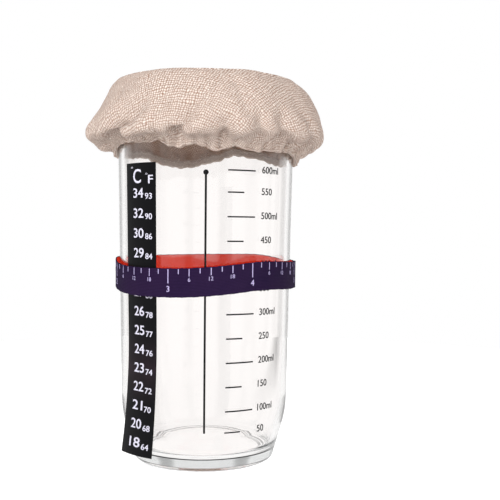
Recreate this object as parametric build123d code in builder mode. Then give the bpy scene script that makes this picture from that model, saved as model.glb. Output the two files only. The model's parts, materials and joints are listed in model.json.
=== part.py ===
"""Sourdough starter jar: a glass jar with a printed volume scale, a stick-on temperature strip, a
loose feeding band and an elasticated cloth cover. Sizes are in millimetres. +Z is up, and the
origin is on the jar's axis, on the surface that it stands on. The front, with the upright feeding
line, faces -Y. Azimuths are in degrees from the front, growing towards +X."""

import math
import os

from build123d import *

# Glass jar. Its wall flares from the waist, above the heel, up to the rim
jar_height = 180.5
waist_radius = 40.2
waist_height = 22.6
waist_rounding = 45.0
rim_flare = 3.0
heel_inset = 6.5
foot_rounding = 1.8
foot_ring_width = 6.2
kick_height = 1.5
kick_rounding = 1.6
glass_wall = 2.7
heel_glass = 3.3
floor_height = 5.3
floor_rounding = 7.0
rim_rounding_share = 0.48

# Ink on the glass, with a mark at each 50 ml
mark_count = 12
mark_pitch = 10.93
end_mark_pitch = 9.8
lowest_mark_height = 19.1
ink_thickness = 0.08
bar_thickness = 0.65
bar_azimuth = 13.4
long_bar_length = 13.6
short_bar_length = 7.8
line_width = 1.0
dot_diameter = 2.4
dot_drop = 1.2

# Temperature strip
strip_length = 133.1
strip_width = 19.4
strip_azimuth = -45.3
strip_bottom = 7.5
strip_lift_height = 64.0
strip_curl_radius = 360.0
adhesive_thickness = 0.08
backing_thickness = 0.1
cell_thickness = 0.06
film_thickness = 0.12
cell_count = 14
cell_pitch = 8.65
cell_height = 6.4
cell_width = 15.4
lowest_cell_height = 6.8

# Feeding band
band_width = 13.0
band_height = 89.1
band_tilt_angle = 2.33
band_slack = 1.25
lining_thickness = 0.3
band_play = 0.05
face_thickness = 0.5
band_seam_gap = 0.4
day_count = 7
ticks_a_day = 8
first_day_azimuth = 29.2
tick_width = 0.45
tick_thickness = 0.08
day_tick_length = 6.3
quarter_tick_length = 3.3
small_tick_length = 2.2
seam_stitch_count = 6
seam_stitch_length = 4.0
seam_thread = 0.35

# Cloth cover
cover_gap = 0.3
cloth_thickness = 1.2
cover_overhang = 14.3
cloth_drop = 37.8
crease_depth = 3.2
hem_height = 3.6
hem_gap = 0.35
inner_ply = 0.6
outer_ply = 1.7
elastic_thickness = 0.8
elastic_recess = 0.3
hem_stitch_count = 72
hem_stitch_length = 2.4
hem_thread = 0.3
hem_stitch_drop = 0.9

# The cover's outline: how far down the cloth each level lies, how far beyond the rim it reaches,
# and how deep its creases are there
level_drop_shares = [0.0, 0.037, 0.106, 0.238, 0.423, 0.688, 0.857]
level_reach_shares = [-0.05, 0.196, 0.39, 0.573, 0.825, 1.0, 0.76]
level_crease_shares = [0.0, 0.06, 0.2, 0.45, 0.8, 1.0, 0.9]
hem_crease_share = 0.3

# The gathers round the hem, from the deepest crease at the left of the front: how wide each is
# beside the others, and how deep the crease at its start is
first_crease_azimuth = -54.0
gather_width_shares = [
    1.1, 1.2, 0.8, 0.7, 0.75, 0.95, 0.95, 1.0, 1.1, 0.9, 1.05, 0.8,
    1.2, 0.95, 0.85, 1.1, 1.0, 0.8, 1.15, 0.9, 1.05, 0.85, 1.0, 0.95,
]
gather_depth_shares = [
    1.0, 0.45, 0.35, 0.55, 0.3, 0.5, 0.35, 0.6, 0.4, 0.5, 0.35, 0.6,
    0.45, 0.3, 0.55, 0.4, 0.65, 0.35, 0.5, 0.4, 0.6, 0.3, 0.5, 0.7,
]

# One overrun serves every cut
overrun = 2.0


rim_radius = waist_radius + rim_flare
foot_radius = waist_radius - heel_inset
kick_radius = foot_radius - foot_ring_width


def wall_radius(height):
    """Radius of the straight outer wall of the glass at a height."""
    rise = (height - waist_height) / (jar_height - waist_height)
    return waist_radius + rim_flare * rise


def radial_plane(azimuth):
    """The upright half plane at an azimuth: x outward from the axis, y up."""
    turn = math.radians(azimuth)
    return Plane(
        origin=(0, 0, 0),
        x_dir=(math.sin(turn), -math.cos(turn), 0),
        z_dir=(-math.cos(turn), -math.sin(turn), 0),
    )


def on_circle(radius, azimuth):
    """The point at a radius and azimuth, in plan."""
    turn = math.radians(azimuth)
    return (radius * math.sin(turn), -radius * math.cos(turn))


def sweep_of(length, radius):
    """The angle, in degrees, that a length spans on a circle."""
    return math.degrees(length / radius)


# The jar's outside, from the axis out over the hollow foot and up to the rim
heel_slope = heel_inset / waist_height
outside_points = [
    (0, kick_height),
    (kick_radius, kick_height),
    (kick_radius + kick_rounding, 0),
    (foot_radius, 0),
    (waist_radius, waist_height),
    (rim_radius, jar_height),
]
outside_roundings = [kick_rounding, kick_rounding, foot_rounding, waist_rounding]

# The jar's inside. Its heel runs along the outer one, which it meets the wall above
wall_slope = rim_flare / (jar_height - waist_height)
inner_waist_height = waist_height + (heel_glass - glass_wall) / (heel_slope - wall_slope)
inside_points = [
    (0, floor_height),
    (foot_radius + heel_slope * floor_height - heel_glass, floor_height),
    (wall_radius(inner_waist_height) - glass_wall, inner_waist_height),
    (rim_radius - glass_wall, jar_height),
]
inside_roundings = [floor_rounding, waist_rounding]

with BuildSketch(Plane.XZ) as outside:
    with BuildLine():
        wall = FilletPolyline(*outside_points, radius=outside_roundings)
        Polyline(wall @ 1, (0, jar_height), wall @ 0)
    make_face()

with BuildPart() as cavity:
    with BuildSketch(Plane.XZ):
        with BuildLine():
            wall = FilletPolyline(*inside_points, radius=inside_roundings)
            Polyline(wall @ 1, (0, jar_height), wall @ 0)
        make_face()
    revolve(axis=Axis.Z)

with BuildPart() as jar_glass:
    add(outside.sketch)
    revolve(axis=Axis.Z)
    add(cavity.part, mode=Mode.SUBTRACT)
    rim_edges = jar_glass.edges().filter_by(GeomType.CIRCLE).group_by(Axis.Z)[-1]
    fillet(rim_edges, glass_wall * rim_rounding_share)


def ink_layer(bottom, top, azimuth, sweep):
    """A layer of ink that lies on the glass between two heights, from an azimuth rightwards."""
    with BuildSketch(radial_plane(azimuth)) as section:
        offset(outside.sketch_local.face(), amount=ink_thickness)
        add(outside.sketch_local.face(), mode=Mode.SUBTRACT)
        with Locations((rim_radius, (bottom + top) / 2)):
            Rectangle(rim_radius, top - bottom, mode=Mode.INTERSECT)
    revolve(section.sketch, axis=Axis.Z, revolution_arc=sweep)


# The lowest and the highest mark are a little nearer to their neighbours than the rest
mark_steps = [end_mark_pitch] + [mark_pitch] * (mark_count - 3) + [end_mark_pitch]
mark_heights = [lowest_mark_height + sum(mark_steps[:i]) for i in range(mark_count)]

# Twelve bars, long at every second mark
with BuildPart() as volume_marks:
    for i, mark_height in enumerate(mark_heights):
        bar_length = long_bar_length if i % 2 else short_bar_length
        ink_layer(
            mark_height - bar_thickness / 2,
            mark_height + bar_thickness / 2,
            bar_azimuth,
            sweep_of(bar_length, wall_radius(mark_height)),
        )

# The line runs from the lowest mark to its dot, just below the highest mark
dot_height = mark_heights[-1] - dot_drop
with BuildPart() as feeding_line:
    dot_sweep = sweep_of(2 * dot_diameter, rim_radius)
    ink_layer(
        dot_height - dot_diameter,
        dot_height + dot_diameter,
        -dot_sweep / 2,
        dot_sweep,
    )
    with BuildSketch(Plane.XZ):
        with Locations((0, dot_height)):
            Circle(dot_diameter / 2)
    extrude(amount=rim_radius + overrun, mode=Mode.INTERSECT)
    line_sweep = sweep_of(line_width, rim_radius)
    ink_layer(mark_heights[0], dot_height, -line_sweep / 2, line_sweep)

# The strip's layers follow the straight wall. Its lower end has come unstuck and curls a little
# off the glass, past the heel
strip_top = strip_bottom + strip_length
wall_lean = math.atan(wall_slope)
curl_lean = math.asin(
    (strip_lift_height - strip_bottom) / strip_curl_radius - math.sin(wall_lean)
)
curl_sweep = math.degrees(wall_lean + curl_lean)
strip_radius = wall_radius(strip_bottom + strip_length / 2)
backing_base = adhesive_thickness
cell_base = backing_base + backing_thickness
film_base = cell_base + cell_thickness


def strip_layer(base, thickness, width, bottom=0, top=jar_height):
    """A layer of the strip, its inner face base out from the glass, cut between two heights."""
    sweep = sweep_of(width, strip_radius)
    with BuildSketch(radial_plane(strip_azimuth - sweep / 2)) as section:
        with BuildLine():
            ends = []
            for out in (base, base + thickness):
                lift_point = (wall_radius(strip_lift_height) + out, strip_lift_height)
                run = Line((wall_radius(strip_top) + out, strip_top), lift_point)
                curl = JernArc(lift_point, (-wall_slope, -1), strip_curl_radius, curl_sweep)
                ends.append((run @ 0, curl @ 1))
            Line(ends[0][0], ends[1][0])
            Line(ends[0][1], ends[1][1])
        make_face()
        with Locations((rim_radius, (bottom + top) / 2)):
            Rectangle(rim_radius, top - bottom, mode=Mode.INTERSECT)
    revolve(section.sketch, axis=Axis.Z, revolution_arc=sweep)


with BuildPart() as strip_adhesive:
    strip_layer(0, adhesive_thickness, strip_width)

with BuildPart() as strip_backing:
    strip_layer(backing_base, backing_thickness, strip_width)

with BuildPart() as crystal_cells:
    for i in range(cell_count):
        cell_middle = strip_bottom + lowest_cell_height + i * cell_pitch
        strip_layer(
            cell_base,
            cell_thickness,
            cell_width,
            cell_middle - cell_height / 2,
            cell_middle + cell_height / 2,
        )

with BuildPart() as strip_face:
    strip_layer(film_base, film_thickness, strip_width)

# The band hangs a little forward of level, so it has an axis of its own
lean = math.radians(band_tilt_angle)
band_axis = Axis((0, 0, band_height), (0, -math.sin(lean), math.cos(lean)))
lining_radius = wall_radius(band_height) + band_slack
face_radius = lining_radius + lining_thickness + band_play


def band_plane(azimuth):
    """The half plane through the band's axis at an azimuth: x outward, y along the axis."""
    turn = math.radians(azimuth)
    outward = Vector(math.sin(turn), -math.cos(turn), 0).rotate(Axis.X, band_tilt_angle)
    return Plane(
        origin=band_axis.position, x_dir=outward, z_dir=outward.cross(band_axis.direction)
    )


def band_layer(inner_radius, thickness, middle, width, azimuth, sweep):
    """A layer of the band that is as wide as width, middle up its axis."""
    with BuildSketch(band_plane(azimuth)) as section:
        with Locations((inner_radius + thickness / 2, middle)):
            Rectangle(thickness, width)
    revolve(section.sketch, axis=band_axis, revolution_arc=sweep)


with BuildPart() as band_lining:
    band_layer(lining_radius, lining_thickness, 0, band_width, 0, 360)

# The face is closed at the back, where its two ends meet
print_radius = face_radius + face_thickness
seam_sweep = sweep_of(band_seam_gap, print_radius)
with BuildPart() as band_face:
    band_layer(
        face_radius, face_thickness, 0, band_width, 180 + seam_sweep / 2, 360 - seam_sweep
    )

# One day's ticks, from its long one rightwards, and then the same for every day
tick_sweep = sweep_of(tick_width, print_radius)
with BuildPart() as day_ticks:
    for i in range(ticks_a_day):
        if i == 0:
            tick_length = day_tick_length
        elif i % 2 == 0:
            tick_length = quarter_tick_length
        else:
            tick_length = small_tick_length
        band_layer(
            print_radius,
            tick_thickness,
            (band_width - tick_length) / 2,
            tick_length,
            first_day_azimuth + 360 * i / (day_count * ticks_a_day) - tick_sweep / 2,
            tick_sweep,
        )

with BuildPart() as band_ticks:
    add([day_ticks.part.rotate(band_axis, 360 * i / day_count) for i in range(day_count)])

stitch_sweep = sweep_of(seam_stitch_length, print_radius)
with BuildPart() as band_stitches:
    for i in range(seam_stitch_count):
        band_layer(
            print_radius,
            seam_thread,
            band_width * ((i + 1) / (seam_stitch_count + 1) - 1 / 2),
            seam_thread,
            180 - stitch_sweep / 2,
            stitch_sweep,
        )

# The cover's gathers
crease_azimuths = [first_crease_azimuth]
for share in gather_width_shares:
    crease_azimuths.append(crease_azimuths[-1] + 360 * share / sum(gather_width_shares))


def gathered_face(ridge_radius, depth, mode=Mode.ADD):
    """A face whose edge is one arc to each gather, out to the ridge radius between creases."""
    with BuildLine() as outline:
        for i, share in enumerate(gather_depth_shares):
            next_share = gather_depth_shares[(i + 1) % len(gather_depth_shares)]
            start, end = crease_azimuths[i], crease_azimuths[i + 1]
            ThreePointArc(
                on_circle(ridge_radius - depth * share, start),
                on_circle(ridge_radius, (start + end) / 2),
                on_circle(ridge_radius - depth * next_share, end),
            )
    make_face(outline.edges(), mode=mode)


cover_top = jar_height + cover_gap + cloth_thickness
cloth_bottom = cover_top - cloth_drop
hem_bottom = cloth_bottom - hem_height
hem_bore = rim_radius + hem_gap
elastic_radius = hem_bore + inner_ply
hem_radius = elastic_radius + elastic_thickness + outer_ply
hem_crease = crease_depth * hem_crease_share

# Each level of the cloth as its radius, height and crease depth, from the flat top to the hem
cloth_levels = [
    (rim_radius + cover_overhang * reach, cover_top - cloth_drop * drop, crease_depth * crease)
    for drop, reach, crease in zip(level_drop_shares, level_reach_shares, level_crease_shares)
]
cloth_levels.append((hem_radius, cloth_bottom, hem_crease))


def lining_levels():
    """The same levels a cloth's thickness in, square to the outline between their neighbours."""
    top_radius, top_height, top_crease = cloth_levels[0]
    levels = [(top_radius, top_height - cloth_thickness, top_crease)]
    for above, level, below in zip(cloth_levels, cloth_levels[1:], cloth_levels[2:]):
        run, fall = below[0] - above[0], above[1] - below[1]
        length = math.hypot(run, fall)
        levels.append(
            (
                level[0] - cloth_thickness * fall / length,
                level[1] - cloth_thickness * run / length,
                level[2],
            )
        )
    levels.append((hem_radius - cloth_thickness, cloth_bottom, hem_crease))
    return levels


with BuildPart() as cover_cloth:
    for level_radius, level_height, level_crease in cloth_levels:
        with BuildSketch(Plane.XY.offset(level_height)):
            gathered_face(level_radius, level_crease)
    loft()
    for level_radius, level_height, level_crease in lining_levels():
        with BuildSketch(Plane.XY.offset(level_height)):
            gathered_face(level_radius, level_crease)
    loft(mode=Mode.SUBTRACT)

# The casing is turned up round the elastic, and open at its top, under the cloth
with BuildPart() as cover_hem:
    with BuildSketch(Plane.XY.offset(hem_bottom)):
        gathered_face(hem_radius, hem_crease)
        Circle(hem_bore, mode=Mode.SUBTRACT)
    extrude(amount=hem_height)
    with BuildSketch(Plane.XY.offset(hem_bottom + inner_ply)):
        Circle(elastic_radius + elastic_thickness)
        Circle(elastic_radius, mode=Mode.SUBTRACT)
    extrude(amount=hem_height, mode=Mode.SUBTRACT)

with BuildPart() as cover_elastic:
    with BuildSketch(Plane.XY.offset(hem_bottom + inner_ply)):
        Circle(elastic_radius + elastic_thickness)
        Circle(elastic_radius, mode=Mode.SUBTRACT)
    extrude(amount=hem_height - inner_ply - elastic_recess)

with BuildSketch() as stitch_places:
    with PolarLocations(hem_radius, hem_stitch_count):
        Rectangle(2 * hem_radius - 2 * hem_bore, hem_stitch_length)

with BuildPart() as hem_stitches:
    with BuildSketch(Plane.XY.offset(cloth_bottom - hem_stitch_drop)):
        gathered_face(hem_radius + hem_thread, hem_crease)
        gathered_face(hem_radius, hem_crease, mode=Mode.SUBTRACT)
        add(stitch_places.sketch, mode=Mode.INTERSECT)
    extrude(amount=hem_thread)

pieces = {
    "jar_glass": jar_glass,
    "volume_marks": volume_marks,
    "feeding_line": feeding_line,
    "strip_adhesive": strip_adhesive,
    "strip_backing": strip_backing,
    "crystal_cells": crystal_cells,
    "strip_face": strip_face,
    "band_lining": band_lining,
    "band_face": band_face,
    "band_ticks": band_ticks,
    "band_stitches": band_stitches,
    "cover_cloth": cover_cloth,
    "cover_hem": cover_hem,
    "cover_elastic": cover_elastic,
    "hem_stitches": hem_stitches,
}

os.makedirs("parts", exist_ok=True)
for name, piece in pieces.items():
    piece.part.label = name
    export_step(piece.part, f"parts/{name}.step")
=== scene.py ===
"""Sourdough starter jar: dresses the model of a glass jar with a printed volume scale, a stick-on
temperature strip, a loose feeding band and a gathered cloth cover.

Everything is in metres in the model's own frame: +Z is up, the jar's axis passes through the
origin, the front faces -Y. Azimuths are in degrees from the front, growing towards +X."""

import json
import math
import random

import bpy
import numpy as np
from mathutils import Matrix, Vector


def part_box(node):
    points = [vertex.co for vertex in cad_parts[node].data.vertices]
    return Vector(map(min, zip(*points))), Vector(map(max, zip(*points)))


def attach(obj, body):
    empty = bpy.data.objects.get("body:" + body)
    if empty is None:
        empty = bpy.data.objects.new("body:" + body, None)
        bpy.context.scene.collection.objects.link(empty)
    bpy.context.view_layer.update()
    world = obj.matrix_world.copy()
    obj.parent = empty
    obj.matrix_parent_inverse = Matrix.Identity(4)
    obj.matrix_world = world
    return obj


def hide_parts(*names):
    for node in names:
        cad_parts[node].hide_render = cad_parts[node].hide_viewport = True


bl_info = {
    "name": "Sourdough starter jar",
    "version": (1, 0, 0),
    "blender": (4, 5, 0),
    "location": "3D View > Sidebar > Starter jar",
    "description": "Glass, print, ribbon and cloth for the sourdough starter jar",
    "category": "Add Mesh",
}

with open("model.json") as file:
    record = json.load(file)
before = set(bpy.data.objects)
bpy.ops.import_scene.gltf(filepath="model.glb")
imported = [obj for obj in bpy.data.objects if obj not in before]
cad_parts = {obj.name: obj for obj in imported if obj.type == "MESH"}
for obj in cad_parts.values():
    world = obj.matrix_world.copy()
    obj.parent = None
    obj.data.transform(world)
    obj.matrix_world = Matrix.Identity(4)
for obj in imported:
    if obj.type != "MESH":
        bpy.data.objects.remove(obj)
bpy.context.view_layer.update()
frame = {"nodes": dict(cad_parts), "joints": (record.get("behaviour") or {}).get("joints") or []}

MM = 0.001

# The jar as the model has it
glass_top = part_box("jar_glass")[1]
jar_height = glass_top.z
rim_radius = glass_top.x
strip_low, strip_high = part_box("strip_face")
crown_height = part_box("cover_cloth")[1].z
band_turn = next(joint for joint in frame["joints"] if joint["name"] == "band_turn")


# Colours, nodes and meshes


def linear(code):
    """A hex sRGB colour as linear red, green and blue."""
    channels = [int(code[i : i + 2], 16) / 255 for i in (1, 3, 5)]
    return tuple(c / 12.92 if c <= 0.04045 else ((c + 0.055) / 1.055) ** 2.4 for c in channels)


def add_node(material, kind, inputs=None, **settings):
    """Adds a node. inputs gives each of its sockets a value, another node's output, or another
    node, which stands for its first output."""
    node = material.node_tree.nodes.new(kind)
    for name, value in settings.items():
        setattr(node, name, value)
    for socket, value in (inputs or {}).items():
        if isinstance(value, bpy.types.Node):
            value = value.outputs[0]
        if isinstance(value, bpy.types.NodeSocket):
            material.node_tree.links.new(value, node.inputs[socket])
        else:
            node.inputs[socket].default_value = value
    return node


def start_material(name):
    """A material with no nodes yet."""
    material = bpy.data.materials.new(name)
    material.use_nodes = True
    material.node_tree.nodes.clear()
    return material


def give(piece, material):
    """Puts one material in every slot of a piece."""
    if not piece.data.materials:
        piece.data.materials.append(material)
    for slot in piece.material_slots:
        slot.material = material


def mesh_piece(name, points, faces, uv=None):
    """A smooth mesh object. uv gives each point's place on the flat material, in millimetres."""
    mesh = bpy.data.meshes.new(name)
    mesh.from_pydata([tuple(p) for p in points], [], [tuple(f) for f in faces])
    mesh.validate()
    mesh.shade_smooth()
    if uv is not None:
        layer = mesh.uv_layers.new(name="flat")
        corners = np.empty(len(mesh.loops), dtype=np.int32)
        mesh.loops.foreach_get("vertex_index", corners)
        layer.data.foreach_set("uv", np.asarray(uv, dtype=np.float32)[corners].ravel())
    piece = bpy.data.objects.new(name, mesh)
    bpy.context.scene.collection.objects.link(piece)
    return piece


def ring_faces(rows, columns, closed_rows=False, open_columns=False):
    """Faces between rows of points that run round the jar. The last column meets the first."""
    faces = []
    for i in range(rows if closed_rows else rows - 1):
        k = (i + 1) % rows
        for j in range(columns - 1 if open_columns else columns):
            n = (j + 1) % columns
            faces.append((i * columns + j, i * columns + n, k * columns + n, k * columns + j))
    return faces


def on_circle(radius, azimuth, height):
    """Points at radii, azimuths and heights, as rows of x, y and z."""
    turn = np.radians(azimuth)
    return np.stack(np.broadcast_arrays(radius * np.sin(turn), -radius * np.cos(turn), height), axis=-1)


def smooth_through(places, values, at, period=None):
    """A smooth curve through values at places, read at other places."""
    places, values = np.asarray(places, float), np.asarray(values, float)
    at = np.asarray(at, float)
    if period:
        at = (at - places[0]) % period + places[0]
        places = np.concatenate([[places[-1] - period], places, [places[0] + period, places[1] + period]])
        values = np.concatenate([values[-1:], values, values[:2]])
    slopes = np.gradient(values, places)
    i = np.clip(np.searchsorted(places, at, side="right") - 1, 0, len(places) - 2)
    span = places[i + 1] - places[i]
    t = (at - places[i]) / span
    return (
        (2 * t**3 - 3 * t**2 + 1) * values[i]
        + (t**3 - 2 * t**2 + t) * span * slopes[i]
        + (3 * t**2 - 2 * t**3) * values[i + 1]
        + (t**3 - t**2) * span * slopes[i + 1]
    )


def ease(value, start, end):
    """Rises smoothly from 0 at start to 1 at end."""
    t = np.clip((value - start) / (end - start), 0, 1)
    return t * t * (3 - 2 * t)


# Sizes and colours that a user can change


class GlassSettings(bpy.types.PropertyGroup):
    wall: bpy.props.FloatProperty(
        name="Wall", description="Thickness of the wall", default=2.7 * MM, unit="LENGTH"
    )
    waist_radius: bpy.props.FloatProperty(
        name="Waist radius",
        description="Outer radius above the rounded heel",
        default=40.2 * MM,
        unit="LENGTH",
    )
    waist_height: bpy.props.FloatProperty(
        name="Waist height",
        description="Height at which the heel meets the wall",
        default=22.6 * MM,
        unit="LENGTH",
    )
    foot_radius: bpy.props.FloatProperty(
        name="Foot radius", description="Outer radius of the foot", default=33.7 * MM, unit="LENGTH"
    )
    floor_height: bpy.props.FloatProperty(
        name="Floor height", description="Height of the inner floor", default=5.3 * MM, unit="LENGTH"
    )
    segments: bpy.props.IntProperty(
        name="Segments", description="Sides of the turned glass", default=288, min=24
    )
    depth_tint: bpy.props.FloatVectorProperty(
        name="Depth tint",
        description="Colour that deep glass takes",
        subtype="COLOR",
        default=linear("#AEB7B9"),
    )


class PrintSettings(bpy.types.PropertyGroup):
    ink: bpy.props.FloatVectorProperty(
        name="Ink", description="Colour of the fired ink", subtype="COLOR", default=linear("#0C0C0D")
    )
    digit_height: bpy.props.FloatProperty(
        name="Digit height", description="Height of the volume figures", default=3.1 * MM, unit="LENGTH"
    )
    digit_azimuth: bpy.props.FloatProperty(
        name="Digit azimuth",
        description="Where the volume figures begin",
        default=math.radians(36.8),
        subtype="ANGLE",
    )
    mark_pitch: bpy.props.FloatProperty(
        name="Mark pitch", description="Height between two marks", default=10.93 * MM, unit="LENGTH"
    )
    end_mark_pitch: bpy.props.FloatProperty(
        name="End mark pitch",
        description="Height from each end mark to its neighbour",
        default=9.8 * MM,
        unit="LENGTH",
    )


class StripSettings(bpy.types.PropertyGroup):
    film: bpy.props.FloatVectorProperty(
        name="Film", description="Colour of the film", subtype="COLOR", default=linear("#0E0E10")
    )
    glow: bpy.props.FloatVectorProperty(
        name="Glow",
        description="Faint colour of the cell nearest to the room's warmth",
        subtype="COLOR",
        default=linear("#2B2026"),
    )
    figures: bpy.props.FloatVectorProperty(
        name="Figures", description="Colour of the figures", subtype="COLOR", default=linear("#C3C1CF")
    )
    digit_height: bpy.props.FloatProperty(
        name="Digit height", description="Height of the Celsius figures", default=4.3 * MM, unit="LENGTH"
    )
    small_digit_height: bpy.props.FloatProperty(
        name="Small digit height",
        description="Height of the Fahrenheit figures",
        default=2.6 * MM,
        unit="LENGTH",
    )


class BandSettings(bpy.types.PropertyGroup):
    outside: bpy.props.FloatVectorProperty(
        name="Outside", description="Colour of the outer ribbon", subtype="COLOR", default=linear("#2C1B3A")
    )
    lining: bpy.props.FloatVectorProperty(
        name="Lining", description="Colour of the inner ribbon", subtype="COLOR", default=linear("#FF3D1A")
    )
    scale: bpy.props.FloatVectorProperty(
        name="Scale", description="Colour of the printed scale", subtype="COLOR", default=linear("#A79CC2")
    )
    width: bpy.props.FloatProperty(
        name="Width", description="Width of the ribbon", default=13.0 * MM, unit="LENGTH"
    )
    day_count: bpy.props.IntProperty(name="Days", description="Days on the scale", default=7, min=1)
    segments: bpy.props.IntProperty(
        name="Segments", description="Steps round the band", default=720, min=90
    )


class CoverSettings(bpy.types.PropertyGroup):
    thread: bpy.props.FloatVectorProperty(
        name="Thread", description="Colour of the thread", subtype="COLOR", default=linear("#FCF3EA")
    )
    # Painted shade: the colour the threads darken to in the holes and down their flanks
    gap: bpy.props.FloatVectorProperty(
        name="Gap", description="Colour between the threads", subtype="COLOR", default=linear("#957666")
    )
    thread_pitch: bpy.props.FloatProperty(
        name="Thread pitch",
        description="Distance between two threads, as coarse as it needs to show",
        default=1.2 * MM,
        unit="LENGTH",
    )
    cut_radius: bpy.props.FloatProperty(
        name="Cut radius", description="Radius of the flat round cloth", default=98.0 * MM, unit="LENGTH"
    )
    overhang: bpy.props.FloatProperty(
        name="Overhang",
        description="How far the cloth puffs out past the rim",
        default=14.0 * MM,
        unit="LENGTH",
    )
    gather_count: bpy.props.IntProperty(
        name="Gathers", description="Small gathers along the hem", default=52, min=8
    )
    segments: bpy.props.IntProperty(
        name="Segments", description="Steps round the cover", default=660, min=120
    )


class StageSettings(bpy.types.PropertyGroup):
    floor: bpy.props.FloatVectorProperty(
        name="Floor", description="Colour of the floor", subtype="COLOR", default=linear("#F4F4F4")
    )
    lens: bpy.props.FloatProperty(
        name="Lens", description="Focal length in millimetres", default=60.1, min=10
    )


# Glass


def moulded_glass(settings):
    """Soda-lime glass, pressed in a mould and fire-polished. It is clear and smooth, with a faint
    ripple from the mould that bends reflections and a slight warm cast. Its depth tint shows most
    where the eye looks along the wall or through the thick base."""
    material = start_material("moulded_soda_lime_glass")
    ripple_size = 14 * MM
    place = add_node(material, "ShaderNodeTexCoord")
    ripple = add_node(
        material,
        "ShaderNodeTexNoise",
        {"Vector": place.outputs["Object"], "Scale": 1 / ripple_size, "Detail": 1.0},
    )
    bump = add_node(
        material, "ShaderNodeBump", {"Height": ripple, "Strength": 0.25, "Distance": 0.1 * MM}
    )
    glass = add_node(
        material,
        "ShaderNodeBsdfPrincipled",
        {
            "Base Color": (*linear("#FFFDFC"), 1),
            "Roughness": 0.0,
            "IOR": 1.52,
            "Transmission Weight": 1.0,
            "Normal": bump,
        },
    )
    # Lamps shine through, so that the jar doesn't darken what is in it and behind it
    clear = add_node(material, "ShaderNodeBsdfTransparent", {"Color": (*linear("#F7F8F8"), 1)})
    ray = add_node(material, "ShaderNodeLightPath")
    lighting = add_node(
        material,
        "ShaderNodeMath",
        {0: ray.outputs["Is Shadow Ray"], 1: ray.outputs["Is Diffuse Ray"]},
        operation="MAXIMUM",
    )
    mixed = add_node(material, "ShaderNodeMixShader", {0: lighting, 1: glass, 2: clear})
    depth = add_node(
        material, "ShaderNodeVolumeAbsorption", {"Color": (*settings.depth_tint, 1), "Density": 9.0}
    )
    add_node(material, "ShaderNodeOutputMaterial", {"Surface": mixed, "Volume": depth})
    return material


def round_corners(points, radii):
    """An outline through points, given as pairs, with each inner corner turned into an arc."""
    step = math.radians(4)
    corners = [Vector(p) for p in points]
    outline = [corners[0]]
    for before, corner, after, radius in zip(corners, corners[1:], corners[2:], radii):
        back = (before - corner).normalized()
        ahead = (after - corner).normalized()
        half = back.angle(ahead) / 2
        centre = corner + (back + ahead).normalized() * radius / math.sin(half)
        first = corner + back * radius / math.tan(half) - centre
        last = corner + ahead * radius / math.tan(half) - centre
        steps = max(2, math.ceil((math.pi - 2 * half) / step))
        outline += [centre + first.lerp(last, i / steps).normalized() * radius for i in range(steps + 1)]
    outline.append(corners[-1])
    # Points just past each arc keep the shading of the straight runs straight
    clear_run, guard = 3 * MM, 0.4 * MM
    guarded = [outline[0]]
    for start, end in zip(outline, outline[1:]):
        if (end - start).length > clear_run:
            ahead = (end - start).normalized() * guard
            guarded += [start + ahead, end - ahead]
        guarded.append(end)
    return guarded


def glass_outline(settings):
    """The jar's outline from the middle of its foot, up to the rim and down to its floor."""
    kick_height, kick_rounding, ring_width = 1.5 * MM, 1.6 * MM, 6.2 * MM
    foot_rounding, waist_rounding = 1.8 * MM, 45 * MM
    floor_rounding, heel_wall = 7 * MM, 3.3 * MM
    rim_rounding = 0.48 * settings.wall
    kick_radius = settings.foot_radius - ring_width
    heel_slope = (settings.waist_radius - settings.foot_radius) / settings.waist_height
    wall_slope = (rim_radius - settings.waist_radius) / (jar_height - settings.waist_height)
    inner_waist = settings.waist_height + (heel_wall - settings.wall) / (heel_slope - wall_slope)
    inner_waist_radius = glass_radius(inner_waist) - settings.wall
    inner_heel_radius = settings.foot_radius + heel_slope * settings.floor_height - heel_wall
    return round_corners(
        [
            (0, kick_height),
            (kick_radius, kick_height),
            (kick_radius + kick_rounding, 0),
            (settings.foot_radius, 0),
            (settings.waist_radius, settings.waist_height),
            (rim_radius, jar_height),
            (rim_radius - settings.wall, jar_height),
            (inner_waist_radius, inner_waist),
            (inner_heel_radius, settings.floor_height),
            (0, settings.floor_height),
        ],
        [
            kick_rounding,
            kick_rounding,
            foot_rounding,
            waist_rounding,
            rim_rounding,
            rim_rounding,
            waist_rounding,
            floor_rounding,
        ],
    )


def glass_radius(height):
    """Outer radius of the straight wall at a height."""
    settings = bpy.context.scene.starter_jar_glass
    rise = (height - settings.waist_height) / (jar_height - settings.waist_height)
    return settings.waist_radius + (rim_radius - settings.waist_radius) * rise


def turned(name, outline, segments):
    """A closed solid turned round the axis from an outline whose two ends lie on the axis."""
    radii = np.array([p[0] for p in outline[1:-1]])
    heights = np.array([p[1] for p in outline[1:-1]])
    azimuths = np.arange(segments) * 360 / segments
    rings = on_circle(radii[:, None], azimuths[None, :], heights[:, None]).reshape(-1, 3)
    points = [*rings, (0, 0, outline[0][1]), (0, 0, outline[-1][1])]
    faces = ring_faces(len(radii), segments)
    last = (len(radii) - 1) * segments
    for j in range(segments):
        n = (j + 1) % segments
        faces.append((len(rings), n, j))
        faces.append((len(rings) + 1, last + j, last + n))
    return mesh_piece(name, points, faces)


# Print


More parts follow.
